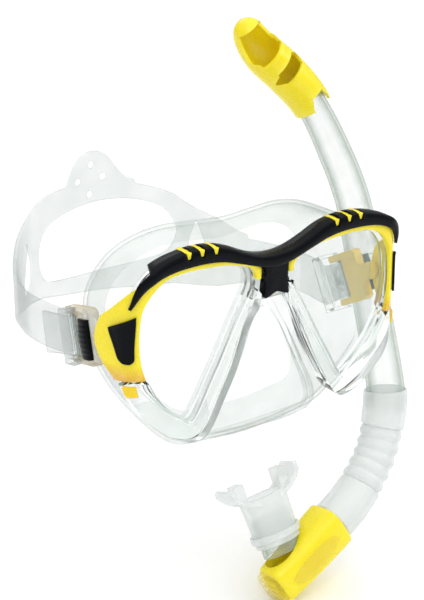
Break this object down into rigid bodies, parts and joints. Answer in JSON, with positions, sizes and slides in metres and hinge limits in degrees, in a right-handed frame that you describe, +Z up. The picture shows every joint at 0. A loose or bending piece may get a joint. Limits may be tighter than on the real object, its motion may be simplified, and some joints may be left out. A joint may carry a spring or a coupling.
{
  "type": "snorkel mask",
  "caption": "Two-lens diving mask with a clear skirt and split strap, swivel buckles, and a clear snorkel with a slotted guard, corrugated hose, purge chamber and mouthpiece.",
  "frame": {"origin": "middle of the opening where the skirt seals on the face, 50 mm behind the front of the frame", "axes": "+Y out of the back of the mask towards the wearer's face, +Z up, +X to the wearer's left, where the snorkel is"},
  "size_m": [0.2296, 0.1754, 0.3298],
  "materials": {
    "yellow": "gloss",
    "amber": "translucent gloss",
    "black": "satin",
    "clear": "clear, polished",
    "glass": "clear tempered glass",
    "silicone": "clear silicone",
    "hose": "milky silicone",
    "steel": "plain"
  },
  "bodies": {
    "mask": {"main_frame": "clear", "lens_left": "glass", "lens_right": "glass", "brow_trim": "black", "skirt": "silicone", "colour_bezel_left": "yellow", "colour_bezel_right": "yellow", "side_insert_left": "black", "side_insert_right": "black", "bezel_clip_left": "amber", "bezel_clip_right": "amber"},
    "strap": {"strap": "silicone", "buckle_bracket_left": "amber", "buckle_bracket_right": "amber", "strap_roller_left": "clear", "strap_roller_right": "clear", "roller_pin_left": "steel", "roller_pin_right": "steel", "buckle_cover_left": "clear", "buckle_cover_right": "clear", "keeper_strap_slide": "clear"},
    "button_left": {"buckle_button_left": "black"},
    "button_right": {"buckle_button_right": "black"},
    "keeper": {"keeper_clip": "clear"},
    "snorkel": {"tube": "clear", "splash_guard": "yellow", "hose_collar": "hose", "corrugated_hose": "hose"},
    "mouth": {"lower_cuff": "hose", "valve_housing": "yellow", "housing_window": "clear", "mouth_port": "clear", "mouthpiece": "hose", "mouthpiece_tie": "clear", "valve_seat": "clear", "purge_cover": "clear"},
    "purge": {"purge_valve": "silicone"}
  },
  "joints": [
    {"name": "strap_swing", "type": "hinge", "parent": "mask", "child": "strap", "pos_m": [0, -0.0284, -0.008], "axis": [1, 0, 0], "range_deg": [-12, 34]},
    {"name": "button_left_press", "type": "slide", "parent": "strap", "child": "button_left", "axis": [-1, 0, 0], "range_m": [0, 0.0011], "stiffness_N_per_m": 400},
    {"name": "button_right_press", "type": "slide", "parent": "strap", "child": "button_right", "axis": [1, 0, 0], "range_m": [0, 0.0011], "stiffness_N_per_m": 400},
    {"name": "keeper_tilt", "type": "hinge", "parent": "strap", "child": "keeper", "pos_m": [0.0996, 0.0114, -0.0292], "axis": [1, 0, 0], "range_deg": [-20, 20]},
    {"name": "snorkel_turn", "type": "hinge", "parent": "keeper", "child": "snorkel", "pos_m": [0.11434, 0.00771, -0.02381], "axis": [0.0893, -0.1957, -0.9766], "range_deg": [-35, 35]},
    {"name": "hose_bend", "type": "hinge", "parent": "snorkel", "child": "mouth", "pos_m": [0.10631, -0.01519, -0.13696], "axis": [0, 0.9806, -0.1961], "range_deg": [-30, 12], "stiffness_Nm_per_rad": 0.8, "deforming": ["corrugated_hose"]},
    {"name": "purge_open", "type": "slide", "parent": "mouth", "child": "purge", "axis": [-0.8852, -0.0746, -0.4591], "range_m": [0, 0.0012], "stiffness_N_per_m": 60}
  ]
}
